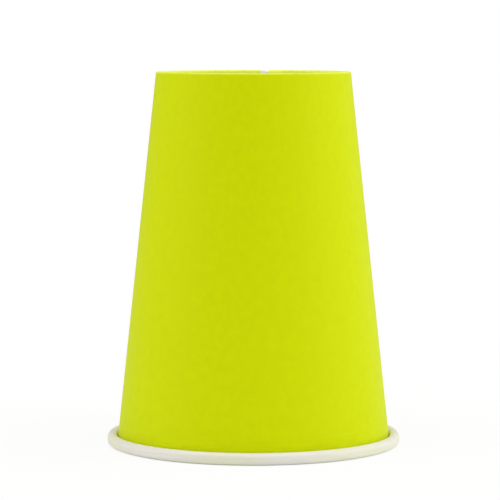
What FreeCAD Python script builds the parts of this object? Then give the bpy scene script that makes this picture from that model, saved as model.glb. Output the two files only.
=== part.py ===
import FreeCAD, Part
import Sketcher
import math
import os

# A tapered paper cup, standing upside down on its rolled rim.
# Z points up, the origin is the middle of the circle that the rim stands on, and sizes are in mm.
# The cup has two pieces of paper board: the side wall, wrapped into a cone and glued along a lap,
# and the bottom, a disc whose skirt is held in the tucked hem of the wall.
# The wall's white face is inside the cup. It comes round to the outside on the rolled rim.
# The wall's printed face is outside, and it goes over the base edge into the recess on the hem.

SIZES = {
    "cup_height": 96.7,  # rim foot to base edge
    "rim_diameter": 76.0,  # outermost of the rolled rim
    "base_diameter": 50.4,  # outside of the wall at the base edge
    "board_thickness": 0.30,  # side wall board
    "roll_width": 2.90,  # white face at the mouth to the outermost of the roll
    "roll_foot": 0.50,  # flat ring that the rim stands on
    "roll_side": 0.62,  # straight part of the outer side of the roll
    "roll_gap": 0.05,  # room between the wall and the closing roll
    "roll_tail": 125.0,  # degrees that the board goes on inside the roll
    "bottom_thickness": 0.27,  # bottom board
    "bottom_bend": 0.50,  # inner bend radius between disc and skirt
    "seal_gap": 0.02,  # glue film on each side of the skirt
    "recess_depth": 7.0,  # base edge to the outer face of the disc
    "hem_length": 5.8,  # straight part of the tucked hem
    "seam_azimuth": 74.7,  # where the under edge of the lap lies, from +X towards +Y
    "lap_angle": 11.5,  # how far the over layer covers the under layer
    "ramp_angle": 4.0,  # how far the board takes to climb on to the under layer
    "corner_angle": 5.8,  # how far the over layer's corner is trimmed back at the hem
    "corner_drop": 1.2,  # how far down from the base edge the trim reaches
}

HALF_ROLL = "(sizes.roll_width - sizes.roll_foot) / 2"
TOP_ROLL = "(sizes.roll_width - sizes.board_thickness - sizes.roll_gap) / 2"
HALF_FOLD = "sizes.bottom_thickness / 2 + sizes.seal_gap"

FULL_TURN = "360"
UNSET = 1.0  # stands in for a dimension until the spreadsheet sets it

# Where a sketch constraint takes hold of a curve, and the sketch's own origin and upright axis.
START, END, CENTRE = range(1, 4)
ORIGIN = (-1, START)
UPRIGHT_AXIS = -2


def make_sheet(doc):
    """The spreadsheet of driving dimensions, one alias to a row."""
    sheet = doc.addObject("Spreadsheet::Sheet", "sizes")
    for row, (name, size) in enumerate(SIZES.items(), start=1):
        sheet.set(f"A{row}", name)
        sheet.set(f"B{row}", str(size))
        sheet.setAlias(f"B{row}", name)
    doc.recompute()
    return sheet


class BoardFace:
    """First positions of the curves of one face of the wall's board, depth mm in from its white face."""

    def __init__(self, depth):
        size = SIZES
        roll = (size["roll_width"] - size["roll_foot"]) / 2
        top = (size["roll_width"] - size["board_thickness"] - size["roll_gap"]) / 2
        tail = top - size["board_thickness"] / 2
        fold = size["bottom_thickness"] / 2 + size["seal_gap"]
        outermost = size["rim_diameter"] / 2
        inner = FreeCAD.Vector(outermost - roll - size["roll_foot"], roll)
        outer = FreeCAD.Vector(outermost - roll, roll)
        upper = FreeCAD.Vector(outermost - top, roll + size["roll_side"])
        within = FreeCAD.Vector(outermost - 2 * top + tail, roll + size["roll_side"])
        crest = FreeCAD.Vector(
            size["base_diameter"] / 2 - fold - size["board_thickness"],
            size["cup_height"] - fold - size["board_thickness"],
        )
        span = inner - crest
        taper = math.atan2(span.x, -span.y) - math.asin((roll + fold) / span.Length)
        outward = FreeCAD.Vector(math.cos(taper), math.sin(taper))
        upward = FreeCAD.Vector(-math.sin(taper), math.cos(taper))
        wall_top = crest + outward * (fold + depth)
        wall_foot = inner - outward * (roll - depth)
        hem_top = crest - outward * (fold + depth)
        over_top = crest + outward * (fold + size["board_thickness"])
        trim = (over_top.y - size["cup_height"] + size["corner_drop"]) / upward.y
        half = math.pi
        quarter = math.pi / 2
        turn = math.radians(size["roll_tail"])
        self.taper = taper
        self.outward = outward
        self.upward = upward
        self.curves = {
            "fold": arc(crest, fold + depth, taper, taper + half),
            "wall": Part.LineSegment(wall_top, wall_foot),
            "trimmed_wall": Part.LineSegment(wall_top - upward * trim, wall_foot),
            "roll_in": arc(inner, roll - depth, half + taper, half + quarter),
            "hem": Part.LineSegment(hem_top - upward * size["hem_length"], hem_top),
            "foot": Part.LineSegment(
                FreeCAD.Vector(inner.x, depth), FreeCAD.Vector(outer.x, depth)
            ),
            "roll_out": arc(outer, roll - depth, half + quarter, 2 * half),
            "side": Part.LineSegment(
                FreeCAD.Vector(outermost - depth, outer.y),
                FreeCAD.Vector(outermost - depth, upper.y),
            ),
            "roll_top": arc(upper, top - depth, 0, half),
            "tail": arc(within, tail - depth, half, half + turn),
        }


def arc(centre, radius, start, end):
    circle = Part.Circle(centre, FreeCAD.Vector(0, 0, 1), radius)
    return Part.ArcOfCircle(circle, start, end)


class Section:
    """A sketch on an upright half plane through the axis, turned round to an azimuth."""

    def __init__(self, body, name, azimuth):
        self.sketch = body.newObject("Sketcher::SketchObject", name)
        planes = [f for f in body.Origin.OriginFeatures if f.Role == "XZ_Plane"]
        self.sketch.AttachmentSupport = [(planes[0], "")]
        self.sketch.MapMode = "FlatFace"
        self.sketch.AttachmentOffset = FreeCAD.Placement(
            FreeCAD.Vector(), FreeCAD.Rotation(FreeCAD.Vector(0, 1, 0), UNSET)
        )
        self.sketch.setExpression("AttachmentOffset.Rotation.Angle", azimuth)
        self.constraints = []
        self.sizes = {}

    def draw(self, curve, construction=False):
        return self.sketch.addGeometry(curve, construction)

    def fix(self, kind, *where):
        self.constraints.append(Sketcher.Constraint(kind, *where))

    def size(self, name, expression, kind, *where):
        """A named dimension that follows the spreadsheet."""
        self.sizes[name] = (len(self.constraints), expression)
        self.constraints.append(Sketcher.Constraint(kind, *where, UNSET))

    def finish(self):
        """Constrains all the curves at once, so that they stay where they were drawn."""
        self.sketch.addConstraint(self.constraints)
        for name, (index, expression) in self.sizes.items():
            self.sketch.renameConstraint(index, name)
            self.sketch.setExpression(f"Constraints.{name}", expression)
        return self.sketch


def draw_guide(section, construction):
    """The white face of the wall, with the fold above it and the first turn of the roll below it."""
    face = BoardFace(0)
    names = ["fold", "wall", "roll_in"]
    drawn = {name: section.draw(face.curves[name], construction) for name in names}
    section.fix("Tangent", drawn["fold"], START, drawn["wall"], START)
    section.fix("Tangent", drawn["wall"], END, drawn["roll_in"], START)
    fold_reach = f"{HALF_FOLD} + sizes.board_thickness"
    fold = (drawn["fold"], CENTRE)
    roll = (drawn["roll_in"], CENTRE)
    section.size("fold_across", f"sizes.base_diameter / 2 - ({fold_reach})", "DistanceX", *ORIGIN, *fold)
    section.size("fold_up", f"sizes.cup_height - ({fold_reach})", "DistanceY", *ORIGIN, *fold)
    section.size("fold_radius", HALF_FOLD, "Radius", drawn["fold"])
    roll_reach = "(sizes.roll_width + sizes.roll_foot) / 2"
    section.size("roll_across", f"sizes.rim_diameter / 2 - {roll_reach}", "DistanceX", *ORIGIN, *roll)
    section.size("roll_up", HALF_ROLL, "DistanceY", *ORIGIN, *roll)
    section.size("roll_radius", HALF_ROLL, "Radius", drawn["roll_in"])
    return drawn


def join_roll(section, drawn):
    """Joins the curves of the roll end to end, each tangent to the next."""
    chain = ["roll_in", "foot", "roll_out", "side", "roll_top", "tail"]
    for before, after in zip(chain, chain[1:]):
        section.fix("Tangent", drawn[before], END, drawn[after], START)
    section.fix("Horizontal", drawn["foot"])
    section.fix("Vertical", drawn["side"])


def draw_white_face(section, construction):
    """The whole white face of the board, from the edge of the hem to the tail of the roll."""
    drawn = draw_guide(section, construction)
    face = BoardFace(0)
    for name in ["hem", "foot", "roll_out", "side", "roll_top", "tail"]:
        drawn[name] = section.draw(face.curves[name], construction)
    section.fix("Tangent", drawn["hem"], END, drawn["fold"], END)
    section.fix("Parallel", drawn["hem"], drawn["wall"])
    section.size("hem_length", "sizes.hem_length", "Distance", drawn["hem"], START, drawn["hem"], END)
    join_roll(section, drawn)
    section.fix("Equal", drawn["roll_in"], drawn["roll_out"])
    section.fix("Horizontal", drawn["roll_top"], END, drawn["roll_top"], CENTRE)
    foot_ends = (drawn["foot"], START, drawn["foot"], END)
    side_ends = (drawn["side"], START, drawn["side"], END)
    section.size("foot_width", "sizes.roll_foot", "DistanceX", *foot_ends)
    section.size("side_height", "sizes.roll_side", "DistanceY", *side_ends)
    section.size("top_radius", TOP_ROLL, "Radius", drawn["roll_top"])
    section.size("tail_radius", f"{TOP_ROLL} - sizes.board_thickness / 2", "Radius", drawn["tail"])
    section.size("tail_turn", "sizes.roll_tail", "Angle", drawn["tail"])
    return drawn


def draw_next_face(section, white, layer, hemmed):
    """The face that lies layer board thicknesses in from the white face, with or without its hem."""
    face = BoardFace(layer * SIZES["board_thickness"])
    names = ["roll_in", "foot", "roll_out", "side", "roll_top", "tail"]
    centres = ["roll_in", "roll_out", "roll_top", "tail"]
    if hemmed:
        names += ["fold", "hem"]
        centres.append("fold")
    drawn = {name: section.draw(face.curves[name]) for name in names}
    drawn["wall"] = section.draw(face.curves["wall" if hemmed else "trimmed_wall"])
    section.fix("Tangent", drawn["wall"], END, drawn["roll_in"], START)
    join_roll(section, drawn)
    for name in centres:
        section.fix("Coincident", drawn[name], CENTRE, white[name], CENTRE)
    section.fix("Parallel", drawn["wall"], white["wall"])
    depth = f"{layer} * sizes.board_thickness"
    section.size(f"depth_{layer}", depth, "Distance", drawn["wall"], END, white["wall"])
    if hemmed:
        section.fix("Tangent", drawn["fold"], START, drawn["wall"], START)
        section.fix("Tangent", drawn["hem"], END, drawn["fold"], END)
        section.fix("Parallel", drawn["hem"], drawn["wall"])
    return drawn


def cut_square(section, name, end, inner, outer):
    """The cut edge of the board between the ends of two faces."""
    inner_end = section.sketch.getPoint(inner[name], end)
    outer_end = section.sketch.getPoint(outer[name], end)
    edge = section.draw(Part.LineSegment(inner_end, outer_end))
    section.fix("Coincident", edge, START, inner[name], end)
    section.fix("Coincident", edge, END, outer[name], end)
    return edge


def draw_layer(body, name, azimuth, layer, hemmed=True):
    """The board's section, its inner face layer board thicknesses in from the cup's white face."""
    section = Section(body, name, azimuth)
    white = draw_white_face(section, layer > 0)
    inner = draw_next_face(section, white, layer, hemmed) if layer else white
    outer = draw_next_face(section, white, layer + 1, hemmed)
    tail_edge = cut_square(section, "tail", END, inner, outer)
    section.fix("PointOnObject", white["tail"], CENTRE, tail_edge)
    if layer:
        section.fix("PointOnObject", white["tail"], END, tail_edge)
    if hemmed:
        hem_edge = cut_square(section, "hem", START, inner, outer)
        section.fix("Perpendicular", hem_edge, inner["hem"])
        if layer:
            section.fix("PointOnObject", white["hem"], START, hem_edge)
    else:
        trimmed_edge = cut_square(section, "wall", START, inner, outer)
        section.fix("Perpendicular", trimmed_edge, inner["wall"])
        trim = "sizes.cup_height - sizes.corner_drop"
        section.size("trim_up", trim, "DistanceY", *ORIGIN, inner["wall"], START)
    return section.finish()


def revolve(body, name, sketch, angle):
    turned = body.newObject("PartDesign::Revolution", name)
    turned.Profile = (sketch, [""])
    turned.ReferenceAxis = (sketch, ["V_Axis"])
    turned.setExpression("Angle", angle)
    body.Document.recompute()
    return turned


def make_side_wall(doc):
    """One sheet of board: nearly a full turn, a ramp, and the over layer on top of the start."""
    body = doc.addObject("PartDesign::Body", "side_wall")
    ramp_start = "sizes.seam_azimuth - sizes.ramp_angle"
    corner_start = "sizes.seam_azimuth + sizes.lap_angle - sizes.corner_angle"
    under = draw_layer(body, "under_layer", "sizes.seam_azimuth", 0)
    revolve(body, "wrapped_board", under, f"{FULL_TURN} - sizes.ramp_angle")
    foot_of_ramp = draw_layer(body, "foot_of_ramp", ramp_start, 0)
    over = draw_layer(body, "over_layer", "sizes.seam_azimuth", 1)
    ramp = body.newObject("PartDesign::AdditiveLoft", "ramp")
    ramp.Profile = (foot_of_ramp, [""])
    ramp.Sections = [(over, [""])]
    ramp.Ruled = True
    doc.recompute()
    revolve(body, "lap", over, "sizes.lap_angle - sizes.corner_angle")
    trimmed = draw_layer(body, "trimmed_layer", corner_start, 1, hemmed=False)
    body.Tip = revolve(body, "trimmed_lap", trimmed, "sizes.corner_angle")
    return body


def draw_bottom(body):
    """The bottom's section: a flat disc, a bend, and a skirt that lies along the wall."""
    section = Section(body, "bottom_section", "0")
    guide = draw_guide(section, True)
    section.fix("Horizontal", guide["fold"], END, guide["fold"], CENTRE)
    section.fix("Vertical", guide["roll_in"], END, guide["roll_in"], CENTRE)
    wall = BoardFace(0)
    thick = SIZES["bottom_thickness"]
    bend = SIZES["bottom_bend"]
    disc_top = SIZES["cup_height"] - SIZES["recess_depth"]
    outer_top = wall.curves["wall"].StartPoint - wall.outward * SIZES["seal_gap"]
    inner_top = outer_top - wall.outward * thick
    slide = (inner_top.y - disc_top - bend) / wall.upward.y
    centre = inner_top - wall.upward * slide - wall.outward * bend
    down = 3 * math.pi / 2
    level = 2 * math.pi + wall.taper
    curves = {
        "disc_top": Part.LineSegment(
            FreeCAD.Vector(0, disc_top), FreeCAD.Vector(centre.x, disc_top)
        ),
        "bend_in": arc(centre, bend, down, level),
        "skirt_in": Part.LineSegment(centre + wall.outward * bend, inner_top),
        "edge": Part.LineSegment(inner_top, outer_top),
        "skirt_out": Part.LineSegment(outer_top, centre + wall.outward * (bend + thick)),
        "bend_out": arc(centre, bend + thick, down, level),
        "disc_under": Part.LineSegment(
            FreeCAD.Vector(centre.x, disc_top - thick), FreeCAD.Vector(0, disc_top - thick)
        ),
        "middle": Part.LineSegment(
            FreeCAD.Vector(0, disc_top - thick), FreeCAD.Vector(0, disc_top)
        ),
    }
    drawn = {name: section.draw(curve) for name, curve in curves.items()}
    section.fix("Tangent", drawn["disc_top"], END, drawn["bend_in"], START)
    section.fix("Tangent", drawn["bend_in"], END, drawn["skirt_in"], START)
    section.fix("Coincident", drawn["skirt_in"], END, drawn["edge"], START)
    section.fix("Coincident", drawn["edge"], END, drawn["skirt_out"], START)
    section.fix("Tangent", drawn["skirt_out"], END, drawn["bend_out"], END)
    section.fix("Tangent", drawn["bend_out"], START, drawn["disc_under"], START)
    section.fix("Coincident", drawn["disc_under"], END, drawn["middle"], START)
    section.fix("Coincident", drawn["middle"], END, drawn["disc_top"], START)
    section.fix("Coincident", drawn["bend_in"], CENTRE, drawn["bend_out"], CENTRE)
    section.fix("Horizontal", drawn["disc_top"])
    section.fix("Horizontal", drawn["disc_under"])
    section.fix("PointOnObject", drawn["middle"], START, UPRIGHT_AXIS)
    section.fix("PointOnObject", drawn["middle"], END, UPRIGHT_AXIS)
    section.fix("Parallel", drawn["skirt_out"], guide["wall"])
    section.fix("Parallel", drawn["skirt_in"], drawn["skirt_out"])
    section.fix("Perpendicular", drawn["edge"], drawn["skirt_out"])
    skirt_foot = (drawn["skirt_out"], END)
    section.size("glue_film", "sizes.seal_gap", "Distance", *skirt_foot, guide["wall"])
    skirt_end = (drawn["skirt_in"], END)
    section.size("thickness", "sizes.bottom_thickness", "Distance", *skirt_end, drawn["skirt_out"])
    section.size("bend_radius", "sizes.bottom_bend", "Radius", drawn["bend_in"])
    disc_start = (drawn["disc_top"], START)
    section.size("disc_up", "sizes.cup_height - sizes.recess_depth", "DistanceY", *ORIGIN, *disc_start)
    section.fix("Horizontal", drawn["skirt_out"], START, guide["fold"], CENTRE)
    return section.finish()


def make_bottom(doc):
    body = doc.addObject("PartDesign::Body", "bottom_disc")
    section = draw_bottom(body)
    body.Tip = revolve(body, "turned_bottom", section, FULL_TURN)
    return body


def check(doc, bodies):
    for item in doc.Objects:
        if {"Invalid", "Error"} & set(item.State):
            raise RuntimeError(f"{item.Name} failed: {item.State}")
        if item.isDerivedFrom("Sketcher::SketchObject") and not item.FullyConstrained:
            raise RuntimeError(f"{item.Name} isn't fully constrained")
    for body in bodies:
        shape = body.Shape
        if shape.isNull() or not shape.isValid() or len(shape.Solids) != 1:
            raise RuntimeError(f"{body.Label} isn't one valid solid")


def main():
    doc = FreeCAD.newDocument("paper_cup")
    make_sheet(doc)
    bodies = [make_side_wall(doc), make_bottom(doc)]
    doc.recompute()
    check(doc, bodies)
    os.makedirs("parts", exist_ok=True)
    for body in bodies:
        box = body.Shape.BoundBox
        print(body.Label, f"{body.Shape.Volume:.1f} mm3,", f"z {box.ZMin:.3f} to {box.ZMax:.3f}")
        body.Shape.exportStep(f"parts/{body.Label}.step")


main()
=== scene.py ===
# %% [markdown]
# A paper party cup stands upside down on its rolled white rim. It is two pieces of paper board: a side
# wall, printed lime on one face and wrapped into a cone, and a white bottom disc that is held in the
# wall's folded hem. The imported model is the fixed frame: it gives the size and the place of both pieces.
# This script models them again as what they are, thin sheets with two faces and a cut edge, and finishes,
# lights and frames them.

# %% Load the frame
import math

import bmesh
import bpy
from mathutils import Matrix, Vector


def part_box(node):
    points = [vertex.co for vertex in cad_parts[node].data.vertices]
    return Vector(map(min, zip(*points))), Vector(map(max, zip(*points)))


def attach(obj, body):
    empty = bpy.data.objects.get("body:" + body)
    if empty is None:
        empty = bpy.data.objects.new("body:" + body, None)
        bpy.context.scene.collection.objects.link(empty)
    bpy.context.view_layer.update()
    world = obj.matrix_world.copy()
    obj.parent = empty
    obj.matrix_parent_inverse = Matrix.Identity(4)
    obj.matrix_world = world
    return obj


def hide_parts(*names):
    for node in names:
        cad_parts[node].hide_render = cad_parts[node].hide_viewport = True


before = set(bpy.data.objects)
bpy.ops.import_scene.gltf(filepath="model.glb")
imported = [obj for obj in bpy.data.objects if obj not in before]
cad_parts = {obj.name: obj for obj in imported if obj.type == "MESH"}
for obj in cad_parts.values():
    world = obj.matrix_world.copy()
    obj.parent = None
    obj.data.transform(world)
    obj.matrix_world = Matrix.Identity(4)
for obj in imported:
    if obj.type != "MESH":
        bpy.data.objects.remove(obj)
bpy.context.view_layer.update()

print("nodes:", sorted(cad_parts))

# %% [markdown]
# Both pieces come from flat stock, so their shape is a line with a thickness. The overall sizes are read
# from the frame. What the frame's boxes can't tell, such as the board's thickness and the radii of the
# roll, is named here in millimetres, the same as the cup's makers would give it.

# %% Sizes
MM = 0.001

wall_low, wall_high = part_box("side_wall")
disc_low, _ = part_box("bottom_disc")

BOARD = 0.30 * MM
BOTTOM_BOARD = 0.27 * MM
RIM_RADIUS = max(*wall_high.xy, *(-wall_low.xy))
BASE_RADIUS = 25.2 * MM
CUP_HEIGHT = wall_high.z - BOARD  # the highest point of the frame is the doubled board of the seam

ROLL_WIDTH = 2.90 * MM
ROLL_FOOT = 0.50 * MM
ROLL_SIDE = 0.62 * MM
ROLL_GAP = 0.05 * MM
ROLL_TAIL = 125  # degrees that the board goes on inside the roll
ROLL_RADIUS = (ROLL_WIDTH - ROLL_FOOT) / 2
TOP_RADIUS = (ROLL_WIDTH - BOARD - ROLL_GAP) / 2
TAIL_RADIUS = TOP_RADIUS - BOARD / 2

SEAL_GAP = 0.02 * MM
FOLD_RADIUS = BOTTOM_BOARD / 2 + SEAL_GAP
HEM_LENGTH = 5.8 * MM
BOTTOM_BEND = 0.50 * MM
DISC_LEVEL = disc_low.z + BOTTOM_BOARD

SEAM_AZIMUTH = 74.7  # degrees from +X towards +Y, where the blank's under edge lies
RAMP_ANGLE = 4.0
LAP_ANGLE = 11.5
CORNER_ANGLE = 5.8
CORNER_DROP = 1.2 * MM
LAYER = BOARD + 0.01 * MM  # how far out the over layer of the seam lies

print(f"rim radius {RIM_RADIUS / MM:.2f} mm, cup height {CUP_HEIGHT / MM:.2f} mm")

# %% [markdown]
# The wall's white face, cut through the cup's axis, is a chain of straight lines and arcs, each tangent
# to the next. Five arc centres and the taper of the wall fix all of it. The taper is the slope of the one
# line that touches the circle of the fold and the circle of the roll's first turn on the same side.

# %% Centres and taper of the board's line
roll_in_centre = Vector((RIM_RADIUS - ROLL_RADIUS - ROLL_FOOT, 0, ROLL_RADIUS))
roll_out_centre = Vector((RIM_RADIUS - ROLL_RADIUS, 0, ROLL_RADIUS))
roll_top_centre = Vector((RIM_RADIUS - TOP_RADIUS, 0, ROLL_RADIUS + ROLL_SIDE))
tail_centre = roll_top_centre - Vector((TOP_RADIUS - TAIL_RADIUS, 0, 0))
fold_centre = Vector((BASE_RADIUS - FOLD_RADIUS - BOARD, 0, CUP_HEIGHT - FOLD_RADIUS - BOARD))

span = roll_in_centre - fold_centre
TAPER = math.atan2(span.x, -span.z) - math.asin((ROLL_RADIUS + FOLD_RADIUS) / span.length)
outward = Vector((math.cos(TAPER), 0, math.sin(TAPER)))
upward = Vector((-math.sin(TAPER), 0, math.cos(TAPER)))

print(f"taper {math.degrees(TAPER):.2f} degrees")

# %% [markdown]
# Every operator acts on what is selected, and the frame's nodes come in selected, so each piece begins by
# deselecting everything. A plane merged to one vertex is a pen: extruding the vertex draws a straight
# line, and spinning it about a centre draws an arc. Drawn like this the vertices are numbered along the
# line, so a row of the finished mesh is always the same place on the board. New vertices would first fill
# the three numbers that the merge leaves free, and leaving edit mode once closes that gap.

# %% Pen
HALF_TURN = 180
QUARTER_TURN = 90
FULL_TURN = 360
ACROSS = (0, 1, 0)
AXIS = (0, 0, -1)  # a spin turns clockwise about its axis, so this one goes from +X towards +Y


def pen_down(name, place):
    """A new piece in edit mode, with one selected vertex at place."""
    bpy.ops.object.select_all(action="DESELECT")
    bpy.ops.mesh.primitive_plane_add(size=BOARD, calc_uvs=False)
    piece = bpy.context.object
    piece.name = piece.data.name = name
    bpy.ops.object.mode_set(mode="EDIT")
    bpy.ops.mesh.merge(type="CENTER")
    bpy.ops.object.mode_set(mode="OBJECT")
    bpy.ops.object.mode_set(mode="EDIT")
    bpy.ops.transform.translate(value=place)
    return piece


def draw_line(step, count):
    """Extrudes the pen by step, so many times."""
    for _ in range(count):
        bpy.ops.mesh.extrude_region_move(TRANSFORM_OT_translate={"value": step})


def draw_arc(centre, degrees, count):
    """Spins the pen about centre in so many steps."""
    bpy.ops.mesh.spin(steps=count, angle=math.radians(degrees), center=centre, axis=ACROSS)


def turn_about_axis(degrees, count):
    """Carries what is selected round the cup, and leaves the last column selected."""
    bpy.ops.mesh.spin(steps=count, angle=math.radians(degrees), center=(0, 0, 0), axis=AXIS)


def select_rows(piece, wanted):
    """Selects the vertices whose number passes the test, and nothing else."""
    bpy.ops.mesh.select_all(action="DESELECT")
    edited = bmesh.from_edit_mesh(piece.data)
    edited.verts.ensure_lookup_table()
    for vertex in edited.verts:
        vertex.select = wanted(vertex.index)
    edited.select_flush_mode()
    bmesh.update_edit_mesh(piece.data)


# %% [markdown]
# The side wall's line starts at the cut edge of the hem, deep in the recess of the base. It runs up the
# hem, over the fold that is the cup's base edge, down the whole wall, and round the rim: under the foot,
# up the outer side, over the top and down inside, where the tail of the board ends out of sight.

# %% Draw the side wall's line
HEM_STEPS = 8
FOLD_STEPS = 14
WALL_STEPS = 28
ROLL_STEPS = 9
TOP_STEPS = 18
TAIL_STEPS = 10

hem_top = fold_centre - outward * FOLD_RADIUS
hem_edge = hem_top - upward * HEM_LENGTH
wall_top = fold_centre + outward * FOLD_RADIUS
wall_foot = roll_in_centre - outward * ROLL_RADIUS
trim_length = ((fold_centre + outward * (FOLD_RADIUS + BOARD)).z - CUP_HEIGHT + CORNER_DROP) / upward.z
trim_point = wall_top - upward * trim_length

side_wall = pen_down("paper_side_wall", hem_edge)
draw_line((hem_top - hem_edge) / HEM_STEPS, HEM_STEPS)
draw_arc(fold_centre, -HALF_TURN, FOLD_STEPS)
draw_line(trim_point - wall_top, 1)
draw_line((wall_foot - trim_point) / WALL_STEPS, WALL_STEPS)
draw_arc(roll_in_centre, QUARTER_TURN - math.degrees(TAPER), ROLL_STEPS)
draw_line((ROLL_FOOT, 0, 0), 1)
draw_arc(roll_out_centre, QUARTER_TURN, ROLL_STEPS)
draw_line((0, 0, ROLL_SIDE), 1)
draw_arc(roll_top_centre, HALF_TURN, TOP_STEPS)
draw_arc(tail_centre, ROLL_TAIL, TAIL_STEPS)

bpy.ops.object.mode_set(mode="OBJECT")
line = [vertex.co.copy() for vertex in side_wall.data.vertices]
ROWS = len(line)
TRIM_ROW = HEM_STEPS + FOLD_STEPS + 1
CREST_ROW = TRIM_ROW + WALL_STEPS + 2 * ROLL_STEPS + 2  # where the roll's top begins
print(f"{ROWS} rows, tail ends at x {line[-1].x / MM:.2f} z {line[-1].z / MM:.2f} mm")

# %% [markdown]
# The real blank is wrapped once round a mandrel. Here the line is turned to the seam's azimuth and spun
# round the axis, one column a degree, and stops short of a full turn, where the board starts to climb on
# to its own start.

# %% Wrap the board
COLUMNS = FULL_TURN - int(RAMP_ANGLE)

bpy.ops.object.mode_set(mode="EDIT")
bpy.ops.mesh.select_all(action="SELECT")
bpy.ops.transform.rotate(
    value=-math.radians(SEAM_AZIMUTH), orient_axis="Z", center_override=(0, 0, 0)
)
turn_about_axis(COLUMNS, COLUMNS)
bpy.ops.object.mode_set(mode="OBJECT")
start = side_wall.data.vertices[0].co
print(f"seam at azimuth {math.degrees(math.atan2(start.y, start.x)):.1f} degrees")


def face_inwards(piece):
    """Flips the sheet if its normals, at half of the cup's height, point away from the axis."""
    middle = min(piece.data.polygons, key=lambda p: abs(p.center.z - CUP_HEIGHT / 2))
    outwards = middle.normal.xy.dot(middle.center.xy) > 0
    if outwards:
        bpy.ops.object.mode_set(mode="EDIT")
        bpy.ops.mesh.select_all(action="SELECT")
        bpy.ops.mesh.flip_normals()
        bpy.ops.object.mode_set(mode="OBJECT")
    print(f"{piece.name}: normals pointed {'outwards, flipped' if outwards else 'inwards'}")


face_inwards(side_wall)

# %% [markdown]
# Where the board will lie double, the roll has to leave room for the second layer between itself and the
# wall. A circle that is scaled about a point on it stays tangent there, so shrinking the top of the roll
# about its outermost point opens that room and leaves the rim as wide as it was. The change fades in and
# out.

# %% Make room in the roll at the seam
SQUEEZE = 1 - LAYER / (2 * TOP_RADIUS)
FADE = 5  # columns


def squeeze_at(column):
    """How much of its size the roll keeps at a column."""
    after = (column - LAP_ANGLE) / FADE
    before = (COLUMNS - column) / FADE
    share = 1 - min(max(min(after, before), 0), 1)
    return 1 - (1 - SQUEEZE) * share


bpy.ops.object.mode_set(mode="EDIT")
for column in range(COLUMNS + 1):
    keep = squeeze_at(column)
    if keep < 1:
        first = column * ROWS
        select_rows(side_wall, lambda i: first + CREST_ROW < i < first + ROWS)
        azimuth = math.radians(SEAM_AZIMUTH + column)
        outermost = Vector((math.cos(azimuth), math.sin(azimuth), 0)) * RIM_RADIUS
        outermost.z = roll_top_centre.z
        bpy.ops.transform.resize(value=(keep, keep, keep), center_override=outermost)

# %% [markdown]
# The last column climbs one layer outwards over four degrees and then runs on over the start of the
# board. Each step is one column spun and then pushed along its own normals. The over layer's corner is
# trimmed on the real blank so that the hem isn't four boards thick, so the last columns leave out the
# hem, the fold and a little of the wall.

# %% Climb, lap and trimmed corner
LAP_STEPS = 6
CORNER_STEPS = 6
full_lap = LAP_ANGLE - CORNER_ANGLE
ramp_steps = int(RAMP_ANGLE)

select_rows(side_wall, lambda i: i >= COLUMNS * ROWS)
for _ in range(ramp_steps):
    turn_about_axis(RAMP_ANGLE / ramp_steps, 1)
    bpy.ops.transform.shrink_fatten(value=-LAYER / ramp_steps)
turn_about_axis(full_lap, LAP_STEPS)
full_columns = COLUMNS + 1 + ramp_steps + LAP_STEPS
select_rows(side_wall, lambda i: i >= (full_columns - 1) * ROWS + TRIM_ROW)
turn_about_axis(CORNER_ANGLE, CORNER_STEPS)
bpy.ops.object.mode_set(mode="OBJECT")

turns = list(range(COLUMNS + 1))  # of each column from the blank's start, in degrees
turns += [turns[-1] + i + 1 for i in range(ramp_steps)]
turns += [turns[-1] + full_lap * (i + 1) / LAP_STEPS for i in range(LAP_STEPS)]
corner_turns = [turns[-1] + CORNER_ANGLE * (i + 1) / CORNER_STEPS for i in range(CORNER_STEPS)]
print(f"{len(side_wall.data.vertices)} vertices, {len(side_wall.data.polygons)} faces")

# %% [markdown]
# The die that folds the hem leaves the whole base edge at one height, also where the board is double.
# There it pushes the fold down along the wall, as far as the over layer stands out, and the hem reaches
# that much deeper.

# %% Press the double fold level
PRESS_FADE = 4  # degrees over which the under layer comes up again
covered = math.ceil(full_lap)  # the first column that the over layer's fold leaves free


def pressed(turn):
    """How much of a layer's thickness the fold is pushed down at a turn from the blank's start."""
    if turn > COLUMNS:
        return min((turn - COLUMNS) / RAMP_ANGLE, 1)
    return min(max((covered + PRESS_FADE - turn) / PRESS_FADE, 0), 1)


bpy.ops.object.mode_set(mode="EDIT")
for column, turn in enumerate(turns):
    share = pressed(turn)
    if share > 0:
        first = column * ROWS
        select_rows(side_wall, lambda i: first <= i < first + TRIM_ROW)
        azimuth = math.radians(SEAM_AZIMUTH + turn)
        along_wall = Vector((math.cos(azimuth) * upward.x, math.sin(azimuth) * upward.x, upward.z))
        bpy.ops.transform.translate(value=-along_wall * LAYER * share)
bpy.ops.object.mode_set(mode="OBJECT")
print(f"base edge at {max(v.co.z for v in side_wall.data.vertices) / MM:.2f} mm on the white face")

# %% [markdown]
# A map of the flat blank helps twice: it says which part of the board was left unprinted, and it lets the
# finishes run along the rim and up the wall. Across it is the turn round the cup, and up it is the
# distance along the line, both as shares of a full turn and of the whole line.

# %% Map the blank
lengths = [0.0]
for before, after in zip(line, line[1:]):
    lengths.append(lengths[-1] + (after - before).length)
LINE_LENGTH = lengths[-1]


def place_on_blank(index):
    """The share of a turn and of the line at which a vertex of the side wall lies."""
    column, row = divmod(index, ROWS)
    if column < full_columns:
        return turns[column] / FULL_TURN, lengths[row] / LINE_LENGTH
    column, row = divmod(index - full_columns * ROWS, ROWS - TRIM_ROW)
    return corner_turns[column] / FULL_TURN, lengths[row + TRIM_ROW] / LINE_LENGTH


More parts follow.
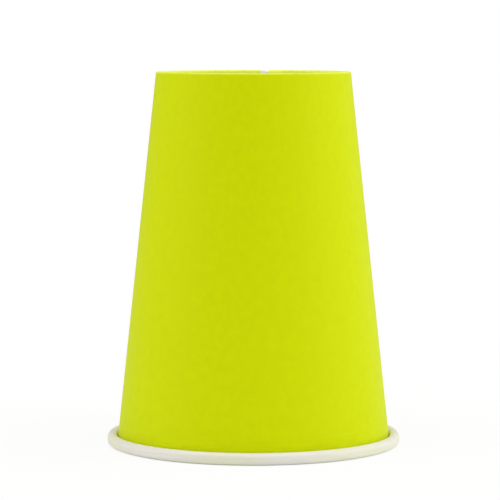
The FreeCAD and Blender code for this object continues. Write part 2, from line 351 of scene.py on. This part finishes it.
blank = side_wall.data.uv_layers.new(name="blank")
for loop in side_wall.data.loops:
    blank.data[loop.index].uv = place_on_blank(loop.vertex_index)
print(f"line {LINE_LENGTH / MM:.1f} mm long, blank {turns[-1]:.1f} degrees round")

# %% [markdown]
# A knurled wheel presses the hem against the skirt of the bottom while it is hot, which leaves upright
# ribs inside the recess. Every second pair of the hem's columns is pushed a little towards the axis,
# apart from the hem's ends, so that the ribs run out. The part that the over layer covers stays flat, and
# the layers don't meet.

# %% Press the ribs into the hem
RIB_HEIGHT = 0.12 * MM
RIB_PERIOD = 4  # columns


def is_rib(index):
    column, row = divmod(index, ROWS)
    on_hem = column < full_columns and 1 <= row < HEM_STEPS - 1
    return on_hem and column > covered and column % RIB_PERIOD < RIB_PERIOD / 2


bpy.ops.object.mode_set(mode="EDIT")
select_rows(side_wall, is_rib)
bpy.ops.transform.shrink_fatten(value=-RIB_HEIGHT)
bpy.ops.object.mode_set(mode="OBJECT")

# %% [markdown]
# The sheet so far is the white face alone. Solidify gives it the board's thickness on the printed side
# and closes it at the cut edges. Its material offsets put the print on the new face and bare paper on the
# edges. The lap's glue strip isn't printed on a real blank, and the trimmed corner lets a bit of it show
# at the base edge.

# %% Give the wall its thickness and its three surfaces
GLUE_STRIP = 11.2  # degrees of the blank's start that carry no print
SMOOTH_ANGLE = math.radians(40)  # edges that turn more than this stay sharp


def new_finish(name):
    material = bpy.data.materials.new(name)
    material.use_nodes = True
    return material


white_board = new_finish("white_board")
lime_print = new_finish("lime_print")
raw_edge = new_finish("raw_board_edge")


def thicken(piece, thickness, materials):
    """Solidifies away from the face normals, with one material each for face, back and edge."""
    for material in materials:
        piece.data.materials.append(material)
    bpy.ops.object.select_all(action="DESELECT")
    piece.select_set(True)
    bpy.context.view_layer.objects.active = piece
    board = piece.modifiers.new("board", "SOLIDIFY")
    board.thickness = thickness
    board.offset = -1
    board.use_even_offset = True
    board.material_offset = min(1, len(materials) - 1)
    board.material_offset_rim = len(materials) - 1
    bpy.ops.object.modifier_apply(modifier=board.name)


thicken(side_wall, BOARD, (white_board, lime_print, raw_edge))

blank = side_wall.data.uv_layers["blank"]
for polygon in side_wall.data.polygons:
    turn = max(blank.data[i].uv.x for i in polygon.loop_indices) * FULL_TURN
    if polygon.material_index == 1 and turn <= GLUE_STRIP:
        polygon.material_index = 0
bpy.ops.object.shade_smooth_by_angle(angle=SMOOTH_ANGLE)
print(f"side wall: {len(side_wall.data.polygons)} faces")

# %% [markdown]
# The bottom is punched from flat white board, and its edge is turned up into a skirt that stands between
# the wall and the hem. It is drawn with the same pen, from the axis outwards, and spun a full turn.
# Turning the edge up gathers it into fine pleats, so every third column of the bend sinks a little. The
# spin leaves doubled vertices on the axis and at its own start, and merging them closes the sheet.

# %% Draw and spin the bottom
DISC_STEPS = 12
BEND_STEPS = 8
SKIRT_STEPS = 4
DISC_COLUMNS = 288
CREASE_DEPTH = 0.05 * MM
CREASE_INSET = 1.6 * MM
CREASE_STEPS = 2  # down, and as many up again
PLEAT_DEPTH = 0.05 * MM
PLEAT_PERIOD = 3  # columns
SKIRT_SHORT = 0.45 * MM  # the skirt ends this far below the fold, so that the pressed seam clears it

skirt_top = fold_centre + outward * (FOLD_RADIUS - SEAL_GAP - BOTTOM_BOARD) - upward * SKIRT_SHORT
slide = (skirt_top.z - DISC_LEVEL - BOTTOM_BEND) / upward.z
bend_centre = skirt_top - upward * slide - outward * BOTTOM_BEND
bend_centre.z = DISC_LEVEL + BOTTOM_BEND
skirt_foot = bend_centre + outward * BOTTOM_BEND
flat_radius = bend_centre.x - 2 * CREASE_INSET

bottom = pen_down("paper_bottom", (0, 0, DISC_LEVEL))
draw_line((flat_radius / DISC_STEPS, 0, 0), DISC_STEPS)
crease_step = Vector((CREASE_INSET, 0, -CREASE_DEPTH)) / CREASE_STEPS
draw_line(crease_step, CREASE_STEPS)
draw_line((crease_step.x, 0, -crease_step.z), CREASE_STEPS)
draw_arc(bend_centre, QUARTER_TURN + math.degrees(TAPER), BEND_STEPS)
draw_line((skirt_top - skirt_foot) / SKIRT_STEPS, SKIRT_STEPS)
bpy.ops.mesh.select_all(action="SELECT")
turn_about_axis(FULL_TURN, DISC_COLUMNS)

bend_row = DISC_STEPS + 2 * CREASE_STEPS
disc_rows = bend_row + BEND_STEPS + SKIRT_STEPS + 1
bend_rows = range(bend_row - 1, bend_row + BEND_STEPS)
select_rows(bottom, lambda i: i % disc_rows in bend_rows and i // disc_rows % PLEAT_PERIOD == 0)
bpy.ops.transform.translate(value=(0, 0, -PLEAT_DEPTH))
bpy.ops.mesh.select_all(action="SELECT")
bpy.ops.mesh.remove_doubles(threshold=BOTTOM_BOARD / 20)
bpy.ops.mesh.normals_make_consistent(inside=False)
bpy.ops.object.mode_set(mode="OBJECT")
middle = min(bottom.data.polygons, key=lambda p: p.center.length_squared - p.center.z**2)
if middle.normal.z < 0:
    bpy.ops.object.mode_set(mode="EDIT")
    bpy.ops.mesh.select_all(action="SELECT")
    bpy.ops.mesh.flip_normals()
    bpy.ops.object.mode_set(mode="OBJECT")
bottom_board = new_finish("bottom_board")
thicken(bottom, BOTTOM_BOARD, (bottom_board, raw_edge))
bpy.ops.object.shade_smooth_by_angle(angle=SMOOTH_ANGLE)
print(f"bottom: {len(bottom.data.polygons)} faces")

# %% [markdown]
# Print, fibres and the creases of forming follow the board, so the finishes of the side wall are drawn on
# the map of the flat blank, in millimetres along the rim and up the wall. The bottom isn't part of that
# blank, and its white is drawn on its own coordinates. These few tools serve all four finishes.

# %% Tools for the finishes
MIDDLE_CIRCUMFERENCE = math.pi * (RIM_RADIUS + BASE_RADIUS)
MOST_OF_NOISE = (0.3, 0.7)  # nearly all values of a noise lie in here
MIDDLE_OF_NOISE = (0.35, 0.65)


def add_node(tree, kind, values=(), **settings):
    """A shader node with its settings, and with its sockets set by name."""
    node = tree.nodes.new(kind)
    for name, value in settings.items():
        setattr(node, name, value)
    for name, value in dict(values).items():
        node.inputs[name].default_value = value
    return node


def in_millimetres(tree, source, size):
    """The coordinates that source gives, stretched to size, in millimetres."""
    where = add_node(tree, "ShaderNodeTexCoord")
    stretched = add_node(tree, "ShaderNodeMapping", {"Scale": [side / MM for side in size]})
    tree.links.new(where.outputs[source], stretched.inputs["Vector"])
    return stretched.outputs[0]


def noise(tree, where, cells, detail=3):
    """Noise with so many cells a millimetre along, up and through."""
    stretched = add_node(tree, "ShaderNodeMapping", {"Scale": cells})
    pattern = add_node(tree, "ShaderNodeTexNoise", {"Scale": 1, "Detail": detail, "Roughness": 0.6})
    tree.links.new(where, stretched.inputs["Vector"])
    tree.links.new(stretched.outputs[0], pattern.inputs["Vector"])
    return pattern.outputs[0]


def remap(tree, value, before, after):
    """The value with the range before brought to the range after, and held there beyond its ends."""
    limits = dict(zip(("From Min", "From Max", "To Min", "To Max"), (*before, *after)))
    ranged = add_node(tree, "ShaderNodeMapRange", limits)
    tree.links.new(value, ranged.inputs["Value"])
    return ranged.outputs[0]


def combine(tree, operation, first, second):
    """The sum, the product or the larger one of two values that vary over the surface."""
    maths = add_node(tree, "ShaderNodeMath", operation=operation)
    tree.links.new(first, maths.inputs[0])
    tree.links.new(second, maths.inputs[1])
    return maths.outputs[0]


def mix_colors(tree, share, first, second):
    """The first colour where share is 0, and the second where it is 1."""
    mix = add_node(tree, "ShaderNodeMix", data_type="RGBA")  # its colour sockets are 6 and 7
    mix.inputs[6].default_value = (*first, 1)
    mix.inputs[7].default_value = (*second, 1)
    tree.links.new(share, mix.inputs["Factor"])
    return mix.outputs[2]


def shade(tree, color, factor):
    """A colour made lighter or darker by a factor that varies over the surface."""
    scaled = add_node(tree, "ShaderNodeVectorMath", operation="SCALE")
    tree.links.new(color, scaled.inputs["Vector"])
    tree.links.new(factor, scaled.inputs["Scale"])
    return scaled.outputs[0]


def set_surface(tree, color, height, roughness, specular):
    """Leads the colour and the height, in millimetres, to the Principled shader, and sets its gloss."""
    shader = tree.nodes["Principled BSDF"]
    shader.inputs["Roughness"].default_value = roughness
    shader.inputs["Specular IOR Level"].default_value = specular
    bump = add_node(tree, "ShaderNodeBump", {"Strength": 1, "Distance": MM})
    tree.links.new(color, shader.inputs["Base Color"])
    tree.links.new(height, bump.inputs["Height"])
    tree.links.new(bump.outputs[0], shader.inputs["Normal"])


# %% [markdown]
# The lime is an offset print on coated board: satin, hardly glossy, and with faint clouds where the print
# lies on fibre. Curling the rim leaves fine level creases in the wall just above the roll, and their shade
# is painted
# into the colour: darker in the grooves and lighter on the ridges. Along the crest the lime is painted
# lighter as a highlight, in a narrow line on the wall and further down on the hem that was drawn inwards.

# %% Lime print
LIME = (0.65, 0.745, 0.0)
# the lime of the painted highlight along the crest
CREST_HIGHLIGHT_LIME = (0.88, 0.97, 0.16)
CREASED_BAND = 7.0  # mm of the wall above the roll
CREST_ON_WALL = 0.32  # mm from the base edge
CREST_ON_HEM = 1.8  # mm from the base edge
CLOUD_HEIGHT = 0.04  # mm
GRAIN_HEIGHT = 0.006  # mm
CREASE_HEIGHT = 0.06  # mm

tree = lime_print.node_tree
blank_size = (MIDDLE_CIRCUMFERENCE, LINE_LENGTH, MM)
place = in_millimetres(tree, "UV", blank_size)
split = add_node(tree, "ShaderNodeSeparateXYZ")
tree.links.new(place, split.inputs[0])
along_line = split.outputs["Y"]

crest_at = lengths[HEM_STEPS + FOLD_STEPS // 2] / MM
roll_at = lengths[TRIM_ROW + WALL_STEPS] / MM
up_hem = remap(tree, along_line, (crest_at - CREST_ON_HEM, crest_at), (0, 1))
down_wall = remap(tree, along_line, (crest_at, crest_at + CREST_ON_WALL), (1, 0))
near_crest = combine(tree, "MULTIPLY", up_hem, down_wall)
near_roll = remap(tree, along_line, (roll_at - CREASED_BAND, roll_at), (0, 1))

clouds = noise(tree, place, (0.45, 0.36, 1), detail=5)
grain = noise(tree, place, (2.2, 1.4, 1))
creases = noise(tree, place, (0.06, 1.1, 1), detail=4)
# Painted highlight: the lime is lighter along the crest, in a narrow line on the wall and further down on
# the hem.
crest_highlight = combine(tree, "MULTIPLY", near_crest, remap(tree, grain, MOST_OF_NOISE, (0.5, 1)))
lime_and_painted_light = mix_colors(tree, crest_highlight, LIME, CREST_HIGHLIGHT_LIME)
lime_and_painted_light = shade(tree, lime_and_painted_light, remap(tree, clouds, MOST_OF_NOISE, (0.97, 1.018)))
# Painted shade and light of the creases: the lime is darker in their grooves and lighter on their ridges.
creased = combine(tree, "MULTIPLY", near_roll, remap(tree, creases, MOST_OF_NOISE, (-1, 1)))
lime_and_painted_light = shade(tree, lime_and_painted_light, remap(tree, creased, (-1, 1), (0.93, 1.07)))

cloud_relief = remap(tree, clouds, (0, 1), (0, CLOUD_HEIGHT))
grain_relief = remap(tree, grain, (0, 1), (0, GRAIN_HEIGHT))
crease_relief = remap(tree, creased, (-1, 1), (0, CREASE_HEIGHT))
relief = combine(tree, "ADD", combine(tree, "ADD", cloud_relief, grain_relief), crease_relief)
set_surface(tree, lime_and_painted_light, relief, roughness=0.5, specular=0.05)
print(f"base edge {crest_at:.1f} mm and roll {roll_at:.1f} mm along the blank")

# %% [markdown]
# The other face is bare white board under a thin clear film. Rolling the rim draws fine streaks along it,
# which come from the same stretched noise, and its white wanders a little between cream and grey.

# %% White board
COOL_WHITE = (0.84, 0.805, 0.80)
CREAM_WHITE = (0.82, 0.81, 0.65)
FIBRE_HEIGHT = 0.006  # mm


def board_white(tree, place, streaks_along, streak_height, streak_tone, cream_share):
    """White board: how close, high and strong its streaks are, and how creamy it is."""
    tone = noise(tree, place, (0.05, 0.12, 0.05), detail=2)
    fibres = noise(tree, place, (1.6, 1.6, 1.6))
    streaks = noise(tree, place, streaks_along, detail=4)
    white = mix_colors(tree, remap(tree, tone, MIDDLE_OF_NOISE, cream_share), COOL_WHITE, CREAM_WHITE)
    white = shade(tree, white, remap(tree, streaks, MOST_OF_NOISE, streak_tone))
    streak_relief = remap(tree, streaks, (0, 1), (0, streak_height))
    fibre_relief = remap(tree, fibres, (0, 1), (0, FIBRE_HEIGHT))
    relief = combine(tree, "ADD", streak_relief, fibre_relief)
    set_surface(tree, white, relief, roughness=0.4, specular=0.45)


board_white(
    white_board.node_tree,
    in_millimetres(white_board.node_tree, "UV", blank_size),
    streaks_along=(0.10, 1.5, 1),
    streak_height=0.05,
    streak_tone=(0.94, 1.03),
    cream_share=(0, 1),
)
board_white(
    bottom_board.node_tree,
    in_millimetres(bottom_board.node_tree, "Object", (1, 1, 1)),
    streaks_along=(0.4, 1.2, 1.2),
    streak_height=0.006,
    streak_tone=(0.975, 1.01),
    cream_share=(0.2, 0.4),
)

# %% [markdown]
# Where the board was cut, its grey-white core of felted fibres is open and takes no gloss at all.

# %% Raw edge
CORE_GREY = (0.66, 0.63, 0.56)
CORE_WHITE = (0.82, 0.80, 0.75)
FELT_HEIGHT = 0.03  # mm

tree = raw_edge.node_tree
place = in_millimetres(tree, "Object", (1, 1, 1))
fibres = noise(tree, place, (5, 5, 12), detail=4)
core = mix_colors(tree, remap(tree, fibres, MIDDLE_OF_NOISE, (0, 1)), CORE_GREY, CORE_WHITE)
set_surface(tree, core, remap(tree, fibres, (0, 1), (0, FELT_HEIGHT)), roughness=0.95, specular=0.1)

# %% [markdown]
# Each sheet takes the place of its solid in the imported model. The cup is one rigid body, so both ride on
# the root.

# %% Ride and replace
for piece, node, slot in (
    (side_wall, "side_wall", "printed_board"),
    (bottom, "bottom_disc", "white_board"),
):
    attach(piece, "root")
    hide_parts(node)

# %% [markdown]
# The cup was photographed on white. A broad pale floor stands in for the table. What the camera sees of
# it is mostly white by itself, so that no extra light has to fall on the cup. The rest of what it sees is
# the real light and shade, which keeps a soft shadow near the cup and fades out around it.

# %% Floor
FLOOR_SIZE = 6
SHADOW_SHARE = 0.16  # how much of the light and shade on the floor the camera sees, next to the cup
SHADOW_REACH = (0.05, 0.25)  # from the axis, in metres, where that share fades to nothing

bpy.ops.object.select_all(action="DESELECT")
bpy.ops.mesh.primitive_plane_add(size=FLOOR_SIZE)
floor = bpy.context.object
floor.name = floor.data.name = "studio_floor"

floor_paint = new_finish("studio_floor")
floor.data.materials.append(floor_paint)
tree = floor_paint.node_tree
tree.nodes.remove(tree.nodes["Principled BSDF"])
paint = add_node(tree, "ShaderNodeBsdfDiffuse", {"Color": (0.9, 0.9, 0.9, 1)})
glow = add_node(tree, "ShaderNodeEmission", {"Color": (1, 1, 1, 1), "Strength": 1})
mix = add_node(tree, "ShaderNodeMixShader")
where = add_node(tree, "ShaderNodeTexCoord")
distance = add_node(tree, "ShaderNodeVectorMath", operation="LENGTH")
rays = add_node(tree, "ShaderNodeLightPath")
tree.links.new(where.outputs["Object"], distance.inputs[0])
glowing = remap(tree, distance.outputs["Value"], SHADOW_REACH, (1 - SHADOW_SHARE, 1))
seen = combine(tree, "MULTIPLY", rays.outputs["Is Camera Ray"], glowing)
tree.links.new(seen, mix.inputs["Fac"])
tree.links.new(paint.outputs[0], mix.inputs[1])
tree.links.new(glow.outputs[0], mix.inputs[2])
tree.links.new(mix.outputs[0], tree.nodes["Material Output"].inputs["Surface"])

# %% [markdown]
# White walls light the cup softly from everywhere. The camera sees them as plain white, while their light
# on the cup is less than half of that, because the lamps do most of the work.

# %% World
WORLD_LIGHT = 0.45  # its light on the cup, while the camera sees it as plain white

world = bpy.data.worlds.new("studio")
bpy.context.scene.world = world
world.use_nodes = True
tree = world.node_tree
background = tree.nodes["Background"]
background.inputs["Color"].default_value = (1, 1, 1, 1)
rays = add_node(tree, "ShaderNodeLightPath")
white_seen = combine(tree, "MAXIMUM", rays.outputs["Is Camera Ray"], rays.outputs["Is Transmission Ray"])
tree.links.new(remap(tree, white_seen, (0, 1), (WORLD_LIGHT, 1)), background.inputs["Strength"])

# %% [markdown]
# The wall is a little brighter on the right and darkest left of its middle. Big soft boxes at both sides
# give that, the right one stronger, with a weak third one behind it, and one overhead lights the top of
# the roll and the bottom. Their powers were fitted to the light and shade across the wall in the
# photograph.

# %% Lamps
def soft_box(name, azimuth, elevation, distance, size, power):
    """An area lamp that faces the cup's middle, its azimuth counted from the camera to the right."""
    bpy.ops.object.select_all(action="DESELECT")
    lamp_data = bpy.data.lights.new(name, "AREA")
    lamp_data.shape = "RECTANGLE"
    lamp_data.size, lamp_data.size_y = size
    lamp_data.energy = power
    lamp = bpy.data.objects.new(name, lamp_data)
    bpy.context.scene.collection.objects.link(lamp)
    side, lift = math.radians(azimuth), math.radians(elevation)
    direction = Vector((math.sin(side) * math.cos(lift), -math.cos(side) * math.cos(lift), math.sin(lift)))
    lamp.location = Vector((0, 0, CUP_HEIGHT / 2)) + direction * distance
    lamp.rotation_euler = direction.to_track_quat("Z", "Y").to_euler()
    return lamp


soft_box("right_soft_box", 75, 15, 0.9, (0.6, 0.8), 3.15)
soft_box("left_soft_box", -75, 15, 0.9, (0.6, 0.8), 2.3)
soft_box("right_rear_soft_box", 125, 20, 0.9, (0.6, 0.8), 0.76)
soft_box("overhead_soft_box", 0, 88, 0.9, (0.9, 0.9), 5.2)

# %% [markdown]
# The camera's distance, height, tilt and lens come from fitting the cup's known outline to the
# photograph: the edges of the wall, both outlines of the roll, and the front and rear of the base edge.
# The roll's outline climbs a little more on the right there, as in a crop from beside the middle of a
# wider picture. A lens shift that follows it would be over half of the frame and would push the cup out
# of every other view, so there is none.

# %% Camera
CAMERA_DISTANCE = 686.7 * MM
CAMERA_HEIGHT = 108.2 * MM
CAMERA_PITCH = 0.0839  # radians down
CAMERA_YAW = -0.0013  # radians to the right
FOCAL_PIXELS = 2654.0
IMAGE_WIDTH = 500
SENSOR_WIDTH = 36

camera_data = bpy.data.cameras.new("camera")
camera_data.sensor_width = SENSOR_WIDTH
camera_data.lens = FOCAL_PIXELS / IMAGE_WIDTH * SENSOR_WIDTH
camera = bpy.data.objects.new("camera", camera_data)
bpy.context.scene.collection.objects.link(camera)
camera.location = (0, -CAMERA_DISTANCE, CAMERA_HEIGHT)
camera.rotation_euler = (math.radians(QUARTER_TURN) - CAMERA_PITCH, 0, -CAMERA_YAW)
bpy.context.scene.camera = camera
bpy.context.scene.view_settings.view_transform = "Standard"
